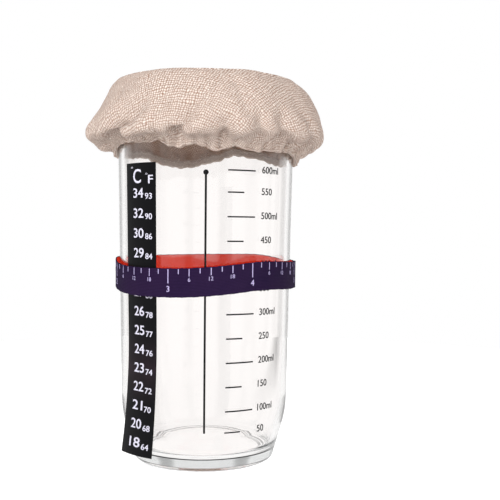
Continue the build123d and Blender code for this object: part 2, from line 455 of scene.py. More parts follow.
def printed_ink(name, colour, roughness, grain_size, wear):
    """Opaque ink, printed through a mesh and hardened. It is nearly flat, with small thin spots
    where less ink came through, and its low gloss keeps it dark beside bright glass. wear is how
    far a thin spot goes towards a paler colour."""
    material = start_material(name)
    place = add_node(material, "ShaderNodeTexCoord")
    spots = add_node(
        material,
        "ShaderNodeTexNoise",
        {"Vector": place.outputs["Object"], "Scale": 1 / grain_size, "Detail": 3.0, "Roughness": 0.6},
    )
    thin = add_node(
        material,
        "ShaderNodeMapRange",
        {"Value": spots, "From Min": 0.45, "From Max": 0.75, "To Min": 0.0, "To Max": wear},
    )
    pale = tuple(0.55 * c + 0.12 for c in colour)
    shade = add_node(
        material, "ShaderNodeMix", {0: thin, 6: (*colour, 1), 7: (*pale, 1)}, data_type="RGBA"
    )
    ink = add_node(
        material,
        "ShaderNodeBsdfPrincipled",
        {"Base Color": shade.outputs[2], "Roughness": roughness, "Specular IOR Level": 0.06},
    )
    add_node(material, "ShaderNodeOutputMaterial", {"Surface": ink})
    return material


def letter_mesh(body, digit_height, boldness=0.0, squeeze=1.0):
    """Flat lettering as points and faces, with digits of a height, from x = 0 rightwards."""
    curve = bpy.data.curves.new("lettering", "FONT")
    curve.body = "0"
    curve.resolution_u = 4
    writer = bpy.data.objects.new("lettering", curve)
    bpy.context.scene.collection.objects.link(writer)
    bpy.context.view_layer.update()
    curve.size = digit_height / writer.dimensions.y
    curve.body = body
    bpy.context.view_layer.update()
    mesh = bpy.data.meshes.new_from_object(writer.evaluated_get(bpy.context.evaluated_depsgraph_get()))
    points = np.array([v.co[:2] for v in mesh.vertices])
    faces = [tuple(p.vertices) for p in mesh.polygons]
    # Each outline moves outwards, square to its edges
    edges = {(a, b) for f in faces for a, b in zip(f, f[1:] + f[:1])}
    push = np.zeros_like(points)
    for a, b in edges:
        if (b, a) not in edges:
            run = points[b] - points[a]
            outward = np.array([run[1], -run[0]]) / max(np.linalg.norm(run), 1e-12)
            push[a] += outward
            push[b] += outward
    reach = 2 * boldness * digit_height / np.maximum((push**2).sum(axis=1, keepdims=True), 1.0)
    points += push * reach
    points[:, 0] = (points[:, 0] - points[:, 0].min()) * squeeze
    bpy.data.objects.remove(writer)
    bpy.data.curves.remove(curve)
    bpy.data.meshes.remove(mesh)
    return points, faces


def wrapped_lettering(name, words, surface, thickness):
    """One raised mesh of lettering. words are (points, faces, x, y) on a flat drawing, and surface
    turns the drawing's x, y and height above it into places."""
    points, faces = [], []
    for flat, flat_faces, x, y in words:
        start = sum(len(p) for p in points)
        count = len(flat)
        for lift in (0.0, thickness):
            points.append(surface(flat[:, 0] + x, flat[:, 1] + y, lift))
        faces += [tuple(start + count + i for i in f) for f in flat_faces]
        faces += [tuple(start + i for i in reversed(f)) for f in flat_faces]
        edges = {}
        for f in flat_faces:
            for a, b in zip(f, f[1:] + f[:1]):
                edges[a, b] = edges.get((a, b), 0) + 1
        for a, b in edges:
            if (b, a) not in edges:
                faces.append((start + a, start + b, start + count + b, start + count + a))
    piece = mesh_piece(name, np.concatenate(points), faces)
    piece.data.shade_flat()
    return piece


def on_glass(x, y, lift):
    """Places on the straight wall for a drawing whose x runs round the jar from the front."""
    settings = bpy.context.scene.starter_jar_glass
    clearance = 0.02 * MM
    radius = glass_radius(y) + clearance + lift
    return on_circle(radius, np.degrees(x / settings.waist_radius), y)


# Temperature strip


def laminated_film(settings):
    """Black polyester film, laminated over liquid-crystal ink with a satin face. It looks flat
    black, with a faint brown and violet glow where a cell is nearly warm enough to show."""
    material = start_material("laminated_polyester_film")
    place = add_node(material, "ShaderNodeTexCoord")
    parts = add_node(material, "ShaderNodeSeparateXYZ", {"Vector": place.outputs["Object"]})
    warm_height, warm_reach, cloud_size = 47 * MM, 17 * MM, 9 * MM
    cloud = add_node(
        material,
        "ShaderNodeTexNoise",
        {"Vector": place.outputs["Object"], "Scale": 1 / cloud_size, "Detail": 2.0},
    )
    offset = add_node(
        material, "ShaderNodeMath", {0: parts.outputs["Z"], 1: warm_height}, operation="SUBTRACT"
    )
    distance = add_node(material, "ShaderNodeMath", {0: offset}, operation="ABSOLUTE")
    warm = add_node(
        material,
        "ShaderNodeMapRange",
        {"Value": distance, "From Min": 0.0, "From Max": warm_reach, "To Min": 1.0, "To Max": 0.0},
    )
    glow = add_node(material, "ShaderNodeMath", {0: warm, 1: cloud}, operation="MULTIPLY")
    colour = add_node(
        material,
        "ShaderNodeMix",
        {0: glow, 6: (*settings.film, 1), 7: (*settings.glow, 1)},
        data_type="RGBA",
    )
    satin = add_node(
        material,
        "ShaderNodeBsdfPrincipled",
        {"Base Color": colour.outputs[2], "Roughness": 0.42, "Specular IOR Level": 0.08},
    )
    add_node(material, "ShaderNodeOutputMaterial", {"Surface": satin})
    return material


def plain_layer(name, colour, roughness, transmission=0.0):
    """A cast or coated layer with an even finish and a slight mottle, as adhesive and backing
    film have. Little of it shows past the face film."""
    material = start_material(name)
    place = add_node(material, "ShaderNodeTexCoord")
    mottle_size = 3 * MM
    mottle = add_node(
        material,
        "ShaderNodeTexNoise",
        {"Vector": place.outputs["Object"], "Scale": 1 / mottle_size, "Detail": 2.0},
    )
    uneven = add_node(
        material,
        "ShaderNodeMapRange",
        {"Value": mottle, "To Min": roughness * 0.8, "To Max": roughness * 1.2},
    )
    layer = add_node(
        material,
        "ShaderNodeBsdfPrincipled",
        {
            "Base Color": (*colour, 1),
            "Roughness": uneven,
            "Transmission Weight": transmission,
            "Specular IOR Level": 0.3,
        },
    )
    add_node(material, "ShaderNodeOutputMaterial", {"Surface": layer})
    return material


strip_azimuth = -45.3
strip_face_lift = 0.36 * MM
strip_lift_height = 64 * MM
strip_curl_radius = 360 * MM


def on_strip(x, y, lift):
    """Places on the strip's face. x runs rightwards from its middle, y up from its lower end."""
    height = strip_low.z + y
    leaving = strip_lift_height
    wall_lean = math.atan((glass_radius(jar_height) - glass_radius(leaving)) / (jar_height - leaving))
    drop = (leaving - height).clip(0)
    curl = np.arcsin(drop / strip_curl_radius - math.sin(wall_lean))
    curled = glass_radius(leaving) + strip_curl_radius * (math.cos(wall_lean) - np.cos(curl))
    radius = np.where(drop > 0, curled, glass_radius(height)) + strip_face_lift + lift
    middle_radius = glass_radius((strip_low.z + strip_high.z) / 2)
    return on_circle(radius, strip_azimuth + np.degrees(x / middle_radius), height)


# Feeding band


def woven_ribbon(name, colour, blotch, pitch):
    """Polyester ribbon, woven fine and dyed. Its weft makes close cross ribs, with painted shade in
    the hollows between them and a soft painted sheen on their crests, and the dye takes a little
    unevenly, in cloudy patches."""
    material = start_material(name)
    flat = add_node(material, "ShaderNodeUVMap", uv_map="flat")
    parts = add_node(material, "ShaderNodeSeparateXYZ", {"Vector": flat})
    ribs = []
    for axis, spacing in (("X", pitch), ("Y", pitch * 1.3)):
        turn = add_node(
            material,
            "ShaderNodeMath",
            {0: parts.outputs[axis], 1: math.pi / (spacing / MM)},
            operation="MULTIPLY",
        )
        wave = add_node(material, "ShaderNodeMath", {0: turn}, operation="SINE")
        ribs.append(add_node(material, "ShaderNodeMath", {0: wave}, operation="ABSOLUTE"))
    weave = add_node(material, "ShaderNodeMath", {0: ribs[0], 1: ribs[1]}, operation="MULTIPLY")
    place = add_node(material, "ShaderNodeTexCoord")
    patch_size = 13 * MM
    dye = add_node(
        material,
        "ShaderNodeTexNoise",
        {"Vector": place.outputs["Object"], "Scale": 1 / patch_size, "Detail": 3.0, "Roughness": 0.55},
    )
    patch = add_node(
        material, "ShaderNodeMix", {0: dye, 6: (*colour, 1), 7: (*blotch, 1)}, data_type="RGBA"
    )
    # Painted shade and sheen: the dye colour darkens to 0.55 of itself in the hollows between the ribs and
    # brightens to 1.12 on their crests
    painted_rib_shade_and_sheen = add_node(material, "ShaderNodeMapRange", {"Value": weave, "To Min": 0.55, "To Max": 1.12})
    shade = add_node(
        material,
        "ShaderNodeMix",
        {0: 1.0, 6: patch.outputs[2], 7: painted_rib_shade_and_sheen},
        data_type="RGBA",
        blend_type="MULTIPLY",
    )
    bump = add_node(material, "ShaderNodeBump", {"Height": weave, "Strength": 0.5, "Distance": 0.12 * MM})
    ribbon = add_node(
        material,
        "ShaderNodeBsdfPrincipled",
        {
            "Base Color": shade.outputs[2],
            "Roughness": 0.85,
            "Specular IOR Level": 0.1,
            "Normal": bump,
        },
    )
    add_node(material, "ShaderNodeOutputMaterial", {"Surface": ribbon})
    return material


# How the loop rises above and dips below its plane as it goes round, in millimetres
band_wave = {
    -180: 0.0, -150: -0.1, -120: 0.4, -92: 1.0, -75: -0.2, -60: -0.9, -30: -0.9, -10: -0.4,
    0: 0.1, 10: 0.7, 20: 1.35, 31: 2.0, 45: 1.9, 66: 0.8, 90: 0.0, 115: 0.2, 140: 0.8, 160: 0.3,
}
# Where the loop was once folded flat, in degrees, and how far each fold still stands out
band_folds = {86.0: 0.9 * MM, -93.0: 0.35 * MM}
band_fold_reach = 3.2
lining_thickness = 0.3 * MM
lining_radius = 42.7 * MM
face_lift = 0.35 * MM
face_thickness = 0.5 * MM


def on_band(azimuth, across, lift):
    """Places on the feeding band: across is measured up from its middle, and lift outwards from
    the inside of its lining."""
    axis = Vector(band_turn["axis"])
    lean = math.atan2(-axis.y, axis.z)
    fold = sum(
        rise * np.exp(-np.abs((azimuth - place + 180) % 360 - 180) / band_fold_reach)
        for place, rise in band_folds.items()
    )
    wave = smooth_through(list(band_wave), list(band_wave.values()), azimuth, period=360) * MM
    flat = on_circle(lining_radius + fold + lift, azimuth, across + wave)
    x, y, z = flat[..., 0], flat[..., 1], flat[..., 2]
    return np.stack(
        [x, y * math.cos(lean) - z * math.sin(lean), y * math.sin(lean) + z * math.cos(lean)], axis=-1
    ) + np.array([0, 0, band_turn["pos_m"][2]])


def ribbon_section(width, thickness, selvedge):
    """A ribbon's cross-section as (across, lift) pairs, with a slightly thicker woven edge."""
    half, bead = width / 2, thickness / 2
    edge_width, flat_steps, edge_steps = 1.2 * MM, 12, 6
    section = []
    for side in (1, -1):
        stations = np.linspace(-half + edge_width, half - edge_width, flat_steps) * side
        outer = thickness if side > 0 else 0.0
        section += [(a, outer) for a in stations]
        for i in range(edge_steps + 1):
            turn = math.pi * i / edge_steps
            across = half - bead + (bead + selvedge) * math.sin(turn)
            lift = bead + (bead + selvedge) * math.cos(turn)
            section.append((side * across, lift if side > 0 else thickness - lift))
    return section


def ribbon_loop(name, settings, width, start_lift, thickness, gap=0.0):
    """A ribbon round the jar. With a gap it is open at the back, where its ends meet."""
    selvedge, uneven_edge = 0.04 * MM, 1.5 * MM
    section = ribbon_section(width, thickness, selvedge)
    half_gap = math.degrees(gap / 2 / lining_radius)
    columns = settings.segments
    azimuths = np.linspace(180 + half_gap, 540 - half_gap, columns, endpoint=bool(gap))
    across = np.array([s[0] for s in section])
    lift = np.array([s[1] for s in section])
    # The woven edge runs in and out a little between its picks
    wobble = 0.05 * MM * np.sin(np.radians(azimuths) * 151) + 0.06 * MM * np.sin(np.radians(azimuths) * 47)
    edge = ease(np.abs(across), width / 2 - uneven_edge, width / 2)
    points = on_band(
        azimuths[None, :],
        across[:, None] + np.sign(across)[:, None] * edge[:, None] * wobble[None, :],
        start_lift + lift[:, None],
    )
    rows = len(section)
    faces = ring_faces(rows, columns, closed_rows=True, open_columns=bool(gap))
    if gap:
        faces.append(tuple(i * columns for i in range(rows)))
        faces.append(tuple(i * columns + columns - 1 for i in reversed(range(rows))))
    along = np.radians(azimuths) * lining_radius / MM
    uv = np.stack(np.broadcast_arrays(along[None, :], across[:, None] / MM), axis=-1).reshape(-1, 2)
    return mesh_piece(name, points.reshape(-1, 3), faces, uv)


def on_face(x, y, lift):
    """Places on the band's printed face. x runs round the jar, y down from the top edge."""
    settings = bpy.context.scene.starter_jar_band
    print_radius = lining_radius + face_lift + face_thickness
    clearance = 0.02 * MM
    return on_band(
        np.degrees(x / print_radius),
        settings.width / 2 + y,
        face_lift + face_thickness + clearance + lift,
    )


def bar_drawing(width, length):
    """A bar that hangs down from the drawing's origin, as points and faces."""
    steps = 4
    y = np.linspace(0, -length, steps)
    points = np.array([(side * width / 2, v) for v in y for side in (-1, 1)])
    faces = [(2 * i, 2 * i + 2, 2 * i + 3, 2 * i + 1) for i in range(steps - 1)]
    return points, faces


# Cloth cover


def plain_weave(settings):
    """Unbleached cotton and linen, in a loose plain weave. Round threads go over and under each
    other, with holes at the crossings and a thick, darker thread here and there. The dark of the
    holes, and the darkening down each thread's flanks and where it passes under another, is
    painted shade. The weave is drawn as coarse as it needs to be to show from a step away."""
    material = start_material("plain_weave_cotton_linen")
    thick_thread_shade, share_through = 0.72, 0.3
    pitch = settings.thread_pitch / MM
    flat = add_node(material, "ShaderNodeUVMap", uv_map="flat")
    drift = add_node(
        material,
        "ShaderNodeTexNoise",
        {"Vector": flat, "Scale": 0.06, "Detail": 1.0},
        noise_dimensions="2D",
    )
    wander = add_node(
        material,
        "ShaderNodeVectorMath",
        {0: drift.outputs["Color"], 1: (2.2, 2.2, 0.0)},
        operation="MULTIPLY",
    )
    kinks = add_node(
        material,
        "ShaderNodeTexNoise",
        {"Vector": flat, "Scale": 0.4, "Detail": 2.0},
        noise_dimensions="2D",
    )
    kinked = add_node(
        material,
        "ShaderNodeVectorMath",
        {0: kinks.outputs["Color"], 1: (1.5, 1.5, 0.0), 2: wander},
        operation="MULTIPLY_ADD",
    )
    drawn = add_node(material, "ShaderNodeVectorMath", {0: flat, 1: kinked}, operation="ADD")
    parts = add_node(material, "ShaderNodeSeparateXYZ", {"Vector": drawn})
    waves, threads = [], []
    for axis in ("X", "Y"):
        turn = add_node(
            material, "ShaderNodeMath", {0: parts.outputs[axis], 1: math.pi / pitch}, operation="MULTIPLY"
        )
        wave = add_node(material, "ShaderNodeMath", {0: turn}, operation="SINE")
        waves.append(wave)
        threads.append(add_node(material, "ShaderNodeMath", {0: wave}, operation="ABSOLUTE"))
    # The sign of the two waves together changes at each crossing, as the threads do
    crossing = add_node(material, "ShaderNodeMath", {0: waves[0], 1: waves[1]}, operation="MULTIPLY")
    warp_on_top = add_node(
        material, "ShaderNodeMapRange", {"Value": crossing, "From Min": -0.12, "From Max": 0.12}
    )
    heights = []
    for top, under in ((0, 1), (1, 0)):
        crest = add_node(
            material, "ShaderNodeMapRange", {"Value": threads[under], "To Min": 0.35, "To Max": 1.0}
        )
        heights.append(
            add_node(material, "ShaderNodeMath", {0: threads[top], 1: crest}, operation="MULTIPLY")
        )
    height = add_node(
        material, "ShaderNodeMix", {0: warp_on_top, 2: heights[1], 3: heights[0]}, data_type="FLOAT"
    )
    slub = add_node(
        material,
        "ShaderNodeTexNoise",
        {"Vector": drawn, "Scale": 0.35, "Detail": 4.0, "Roughness": 0.7},
        noise_dimensions="2D",
    )
    thick = add_node(
        material,
        "ShaderNodeMapRange",
        {"Value": slub, "From Min": 0.3, "From Max": 0.75, "To Min": 0.0, "To Max": 1.0},
    )
    # Painted shade: the colour falls from the thread colour to the gap colour down the threads' flanks,
    # under each crossing thread and in the holes
    solid = add_node(material, "ShaderNodeMapRange", {"Value": height, "From Min": 0.12, "From Max": 0.9})
    thread_colour = add_node(
        material,
        "ShaderNodeMix",
        {
            0: thick,
            6: (*settings.thread, 1),
            7: (*[c * thick_thread_shade for c in settings.thread], 1),
        },
        data_type="RGBA",
    )
    colour = add_node(
        material,
        "ShaderNodeMix",
        {
            0: solid,
            6: (*settings.gap, 1),
            7: thread_colour.outputs[2],
        },
        data_type="RGBA",
    )
    bump = add_node(
        material, "ShaderNodeBump", {"Height": height, "Strength": 0.6, "Distance": 0.25 * MM}
    )
    cloth = add_node(
        material,
        "ShaderNodeBsdfPrincipled",
        {
            "Base Color": colour.outputs[2],
            "Roughness": 0.9,
            "Specular IOR Level": 0.1,
            "Normal": bump,
        },
    )
    # Light that comes through the cloth is warmer than light that it sends back
    lit_through = add_node(material, "ShaderNodeBsdfTranslucent", {"Color": (*linear("#E0C4B0"), 1)})
    both = add_node(material, "ShaderNodeMixShader", {0: share_through, 1: cloth, 2: lit_through})
    add_node(material, "ShaderNodeOutputMaterial", {"Surface": both})
    return material


# The cover's outline: how far past the rim it reaches and how far down it has come, as shares of
# the overhang and of the drop from the crown to the hem's foot. Inside the rim it lies flat.
crown_radius_shares = [0.0, 0.46, 0.79, 0.955]
crown_drop_shares = [-0.010, -0.006, 0.002, 0.010]
puff_reach_shares = [0.075, 0.265, 0.46, 0.665, 0.875, 0.993, 0.955, 0.765, 0.43, 0.20, 0.115]
puff_drop_shares = [0.038, 0.097, 0.193, 0.325, 0.482, 0.627, 0.728, 0.805, 0.866, 0.925, 1.0]
cover_drop = 39.4 * MM
cloth_thickness = 0.5 * MM

# The foot of the hem as it goes round, in millimetres above the surface the jar stands on
hem_heights = {
    -180: 146.4, -166: 144.3, -150: 144.6, -130: 147.8, -110: 146.6, -95: 146.5, -80: 149.0,
    -64: 150.6, -47: 150.6, -40: 149.9, -34: 149.8, -27.6: 150.3, -24.5: 148.9, -20.5: 147.6,
    -14.8: 147.0, -11: 147.5, -7.5: 148.6, -2: 147.4, 2: 146.4, 7.8: 145.7, 12: 147.0,
    18: 147.6, 26: 146.3, 33: 146.0, 38: 146.7, 44: 146.4, 57: 147.2, 68: 146.4, 90: 143.4,
    115: 143.9, 128: 146.3, 137: 148.2, 148: 149.7, 160: 150.6, 170: 148.3,
}

# The folds that a hand made when it pulled the cover on. Each path gives azimuths and distances
# down the cloth in mm. Then come its depth, its half width on the left and on the right of the
# path, how far its right lip stands out, and how far that lip is pulled over to the left.
fold_arc = 0.97  # mm of cloth to a degree where these folds lie
hand_folds = [
    (
        [(-26, 65.0), (-30, 66.0), (-33.4, 68.0), (-37.5, 71.6), (-41, 72.8), (-44, 74.3),
         (-46, 76.8), (-48, 79.8), (-48.5, 83.3)],
        6.2, 6.5, 2.7, 1.9, 1.2,
    ),
    (
        [(-4.6, 58.0), (-5.6, 63.0), (-7.3, 69.3), (-8.8, 73.0), (-10.5, 76.1), (-12.4, 79.0), (-14, 83.3)],
        5.0, 5.6, 3.0, 0.9, 0.0,
    ),
    ([(11, 66.3), (9.4, 72.3), (8.6, 78.3), (8.3, 84.3)], 3.6, 4.2, 3.0, 0.5, 0.0),
    (
        [(-52.8, 51.3), (-53, 56.8), (-53.2, 59.9), (-54.2, 63.5), (-55.2, 66.3), (-57.5, 69.6),
         (-60.5, 72.5), (-63.5, 75.8), (-66.5, 79.3), (-68, 83.3)],
        3.2, 4.4, 2.0, 0.9, 0.6,
    ),
    ([(-55.2, 75.8), (-55.8, 78.8), (-57.6, 82.3)], 1.4, 1.5, 0.7, 0.2, 0.0),
    ([(36, 62.7), (38.5, 73.5), (40.6, 84.5)], 3.2, 4.4, 3.4, 0.4, 0.0),
    ([(24, 64.3), (26, 72.3), (27, 82)], 2.2, 3.6, 3.0, 0.2, 0.0),
    ([(12.5, 47.4), (16, 56), (18, 66.8)], 1.2, 3.4, 3.4, 0.0, 0.0),
    ([(-19, 55.0), (-21.4, 74.2)], 1.3, 3.6, 3.4, 0.0, 0.0),
    ([(-16.5, 78.6), (-16.1, 83.3)], 1.2, 1.6, 1.6, 0.0, 0.0),
    ([(44, 77.3), (47, 81.3), (52, 85.3)], 1.8, 2.4, 1.6, 0.3, 0.0),
    ([(-43.5, 57.4), (-46, 60.8), (-48.6, 64.1), (-53.4, 70.7), (-60.9, 77.7)], -1.0, 2.6, 2.6, 0.0, 0.0),
]

# Plain folds round the sides and the back: azimuth at the belly, lean in degrees a millimetre
# down the cloth, half width, depth, and how far down the cloth the fold begins, in mm
cover_folds = [
    (-78, -0.5, 2.6, 2.2, 62), (-92, -0.3, 3.0, 2.6, 58), (62, 0.8, 3.2, 2.4, 62),
    (75, 0.5, 2.4, 1.5, 70), (88, 0.3, 3.2, 2.6, 63), (103, -0.2, 2.4, 1.4, 70),
    (119, -0.5, 3.6, 3.1, 60), (133, 0.3, 2.4, 1.5, 71), (147, 0.6, 3.0, 2.4, 64),
    (162, -0.3, 2.6, 1.9, 69), (177, 0.4, 3.4, 2.9, 61), (192, 0.2, 2.2, 1.3, 72),
    (206, -0.6, 3.2, 2.6, 62), (221, -0.2, 2.6, 1.7, 69), (236, 0.5, 3.4, 2.8, 60),
    (251, 0.2, 2.4, 1.5, 70),
]


def small_gathers(azimuth, count, seed):
    """How far each point of a gathered edge stands out, from -1 in a crease to 1 on a ridge."""
    chance = random.Random(seed)
    widths = np.array([chance.uniform(0.55, 1.45) for _ in range(count)])
    ridges = np.array([chance.uniform(0.25, 1.0) for _ in range(count)])
    starts = np.concatenate([[0], np.cumsum(widths)]) * 360 / widths.sum()
    turn = np.asarray(azimuth, float) % 360
    i = np.clip(np.searchsorted(starts, turn, side="right") - 1, 0, count - 1)
    phase = (turn - starts[i]) / (starts[i + 1] - starts[i])
    return -1 + (1 + ridges[i]) * (1 - np.abs(2 * phase - 1) ** 2.2)


def hem_foot(azimuth):
    """Height of the hem's foot at azimuths."""
    broad = smooth_through(list(hem_heights), list(hem_heights.values()), azimuth, period=360)
    scallops = 0.4 * small_gathers(azimuth, 40, 29)
    return (broad - scallops) * MM


def cover_outline(settings):
    """The cover's outline before it is folded: distances down the cloth, radii and heights."""
    radii = [rim_radius * share for share in crown_radius_shares]
    radii += [rim_radius + settings.overhang * share for share in puff_reach_shares]
    drops = [cover_drop * share for share in crown_drop_shares + puff_drop_shares]
    steps = np.hypot(np.diff(radii), np.diff(drops))
    along = np.concatenate([[0], np.cumsum(steps)])
    stations = 400
    down = np.linspace(0, along[-1], stations)
    return (down, smooth_through(along, radii, down), crown_height - smooth_through(along, drops, down))


def beside_fold(path, x, y):
    """Distances from a smooth path, above zero on its left, and how far along it each point is."""
    path = np.array(path)
    places = np.arange(len(path))
    steps = np.linspace(0, len(path) - 1, 5 * len(path))
    line_x = fold_arc * smooth_through(places, path[:, 0], steps)
    line_y = smooth_through(places, path[:, 1], steps)
    nearest = np.full(np.broadcast(x, y).shape, 1e6)
    side, along = np.zeros_like(nearest), np.zeros_like(nearest)
    for i in range(len(steps) - 1):
        ahead_x, ahead_y = line_x[i + 1] - line_x[i], line_y[i + 1] - line_y[i]
        away_x, away_y = x - line_x[i], y - line_y[i]
        t = ((away_x * ahead_x + away_y * ahead_y) / (ahead_x**2 + ahead_y**2)).clip(0, 1)
        distance = np.hypot(away_x - t * ahead_x, away_y - t * ahead_y)
        closer = distance < nearest
        nearest = np.where(closer, distance, nearest)
        side = np.where(closer, np.sign(ahead_x * away_y - ahead_y * away_x), side)
        along = np.where(closer, (i + t) / (len(steps) - 1), along)
    return nearest * side, along


def lay_hand_folds(push, slide, slip, s, azimuths):
    """Adds the hand's folds to how far the cloth stands out, and to how far it is pulled round the
    jar and down the cloth. Distances down the cloth, s, are in millimetres here and below."""
    for path, depth, left_width, right_width, lip, pulled in hand_folds:
        away, along = beside_fold(path, fold_arc * azimuths[None, :], s)
        grown = ease(along, -0.05, 0.35)
        width = np.where(away > 0, left_width, right_width)
        power = 2.0 if left_width == right_width else np.where(away > 0, 1.7, 1.4)
        push -= depth * grown * np.exp(-((np.abs(away) / width) ** power))
        beyond = 2 * right_width + 0.8
        push += lip * grown * np.exp(-(((away + beyond) / (0.8 * beyond)) ** 2))
        if pulled:
            toward_s, toward_phi = np.gradient(away, s[:, 0], fold_arc * azimuths)
            lap = pulled * grown * np.exp(-(((away + 1.6) / 1.8) ** 2))
            slide += lap * toward_phi
            slip += lap * toward_s


def lay_plain_folds(push, s, phi, arc, end):
    """Adds the plain folds round the sides and the back, each with a soft bank on either side."""
    belly, softening, widest, growth = 78, 82, 84, 13
    for place, lean, width, depth, start in cover_folds:
        middle = place + lean * (s - belly)
        x = ((phi - middle + 180) % 360 - 180) * arc
        spread = width * (0.75 + 0.6 * ease(s, start, widest))
        reach = ease(s, start, start + growth) * (1 - 0.55 * ease(s, softening, end))
        push -= depth * reach * np.exp(-np.abs(x / spread) ** 1.7)
        push += 0.3 * depth * reach * np.exp(-((np.abs(x) - 2.1 * spread) / (1.3 * spread)) ** 2)


def gather_hem(push, s, phi, end, count):
    """Adds small gathers, which grow towards the hem out of wider and softer ones, and are
    calmest in front."""
    calm = np.exp(-((np.abs(phi - 3) / 44) ** 4))
    fine = small_gathers(phi + 0.9 * (s - end) * np.sin(np.radians(phi)), count, 5)
    middling = small_gathers(phi + 3.0, count * 6 // 11, 11)
    wide = small_gathers(phi - 2.0, count // 3, 17)
    # Depth, how much less of it in front, then distances up from the hem's edge: where a row
    # begins, how much later in front, where it is full, and where the wider ones start and end
    # to fade
    for ridges, depth, less, begins, later, full, fade in (
        (fine, 0.95, 0.15, 19, 3, 3, None),
        (middling, 0.75, 0.1, 29, 5, 12, (8, 0)),
        (wide, 0.55, 0.1, 42, 0, 24, (14, 2)),
    ):
        reach = ease(s, end - begins + later * calm, end - full)
        if fade:
            reach = reach * (1 - 0.8 * ease(s, end - fade[0], end - fade[1]))
        push += (depth - less * calm) * ridges * reach


def unsettle(push, s, phi, end):
    """Adds low broad swells, since a hand-laid cloth is never quite even. It hangs fuller at the
    right than at the left, and bears on the rim."""
    swell_count, fuller, bearing, bearing_place, bearing_width = 14, 1.3, 0.25, 42.6, 1.6
    chance = random.Random(23)
    for _ in range(swell_count):
        turns, waves = chance.randint(2, 11), chance.uniform(0.02, 0.09)
        phase, size_here = chance.uniform(0, 6.28), chance.uniform(0.08, 0.22)
        swell = np.sin(np.radians(phi) * turns + s * waves + phase)
        push += size_here * swell * ease(s, 18, 60) * (1 - 0.5 * ease(s, 80, end))
    push += fuller * np.sin(np.radians(phi)) * ease(s, 44, 54) * (1 - ease(s, 58, 72))
    push += bearing * np.exp(-(((s - bearing_place) / bearing_width) ** 2))


def cover_surface(settings, rows):
    """The folded cloth as rows of points from the crown to the hem, and its places on the flat."""
    down, radii, heights = cover_outline(settings)
    down = down / MM
    end, rim_place = down[-1], rim_radius / MM
    across, fall = np.gradient(radii, down), np.gradient(heights, down)
    size = np.hypot(across, fall)
    rim_rows = rows // 8
    crown = np.linspace(1, rim_place, rim_rows, endpoint=False)
    s = np.concatenate([crown, np.linspace(rim_place, end, rows - rim_rows)])[:, None]
    azimuths = np.arange(settings.segments) * 360 / settings.segments - 180
    phi = azimuths[None, :]
    arc = math.radians((rim_radius + settings.overhang) / MM)

    push = np.zeros((rows, settings.segments))
    slide, slip = np.zeros_like(push), np.zeros_like(push)
    lay_hand_folds(push, slide, slip, s, azimuths)
    lay_plain_folds(push, s, phi, arc, end)
    gather_hem(push, s, phi, end, settings.gather_count)
    unsettle(push, s, phi, end)

    # The hem rises and dips as it goes round, and takes the under side of the puff with it
    under_puff = 72
    there = (s + slip).clip(0, end)
    rise = (hem_foot(azimuths) - heights[-1])[None, :]
    radius = np.interp(there, down, radii) + push * np.interp(there, down, -fall / size) * MM
    height = np.interp(there, down, heights) + push * np.interp(there, down, across / size) * MM
    height += rise * ease(there, under_puff, end - 1)

    # Nothing of the cloth enters the glass
    clearance = 0.35 * MM + cloth_thickness
    over_rim = there < rim_place + 0.6
    height = np.where(over_rim, np.maximum(height, jar_height + clearance), height)
    radius = np.where(over_rim, radius, np.maximum(radius, glass_radius(height) + clearance))
    points = on_circle(radius, phi + slide / arc, height)

    # Threads lie on the flat round cloth as they were woven, a little askew
    bias, askew = math.radians(27), math.tan(math.radians(13))
    flat_x, flat_y = s * np.sin(np.radians(phi) + bias), s * np.cos(np.radians(phi) + bias)
    return points, np.stack([flat_x, flat_y + askew * flat_x], axis=-1)


def cloth_shell(name, points, flat):
    """The cloth's two faces, joined along its edge, with a point in the middle of each."""
    rows, columns = points.shape[:2]
    down = np.gradient(points, axis=0)
    round_the_jar = np.roll(points, -1, axis=1) - np.roll(points, 1, axis=1)
    normal = np.cross(down, round_the_jar)
    normal /= np.linalg.norm(normal, axis=2)[..., None]
    middles = points[0].mean(axis=0)
    outer, inner = points, points - cloth_thickness * normal
    corners = np.concatenate(
        [outer.reshape(-1, 3), inner.reshape(-1, 3), [middles, middles - (0, 0, cloth_thickness)]]
    )
    uv = np.concatenate([flat.reshape(-1, 2)] * 2 + [[(0, 0), (0, 0)]])
    one_face, count = ring_faces(rows, columns), rows * columns
    faces = [tuple(reversed(f)) for f in one_face] + [tuple(count + i for i in f) for f in one_face]
    last = (rows - 1) * columns
    for j in range(columns):
        n = (j + 1) % columns
        faces.append((2 * count, j, n))
        faces.append((2 * count + 1, count + n, count + j))
        faces.append((last + j, count + last + j, count + last + n, last + n))
    return mesh_piece(name, corners, faces, uv)


# The hem's cross-section, as depths out from its inside and heights above its foot, in mm: a
# rolled edge at the foot, and the casing above it
hem_outline = [
    (0.0, 0.5), (0.15, -0.05), (0.6, -0.4), (1.3, -0.55), (1.95, -0.5), (2.35, -0.2), (2.4, 0.15),
    (2.15, 0.45), (1.6, 0.6), (1.4, 1.0), (1.35, 1.9), (1.3, 2.8), (1.1, 3.3), (0.7, 3.5),
    (0.25, 3.3), (0.05, 2.8), (0.0, 1.7),
]


def hem_section(azimuths, settings):
    """The hem's casing, gathered on its elastic, as rows of points round its cross-section."""
    fine = small_gathers(azimuths, settings.gather_count, 5)
    foot = hem_foot(azimuths)
    clearance, gather_out, gather_down = 0.25 * MM, 0.25, 0.3
    inner = glass_radius(foot) + clearance
    deepest = max(depth for depth, _ in hem_outline)
    rows = []
    for depth, level in hem_outline:
        share = depth / deepest
        radius = inner + (depth + gather_out * share * fine) * MM
        rows.append((radius, foot + level * MM - gather_down * MM * share * fine))
    return rows


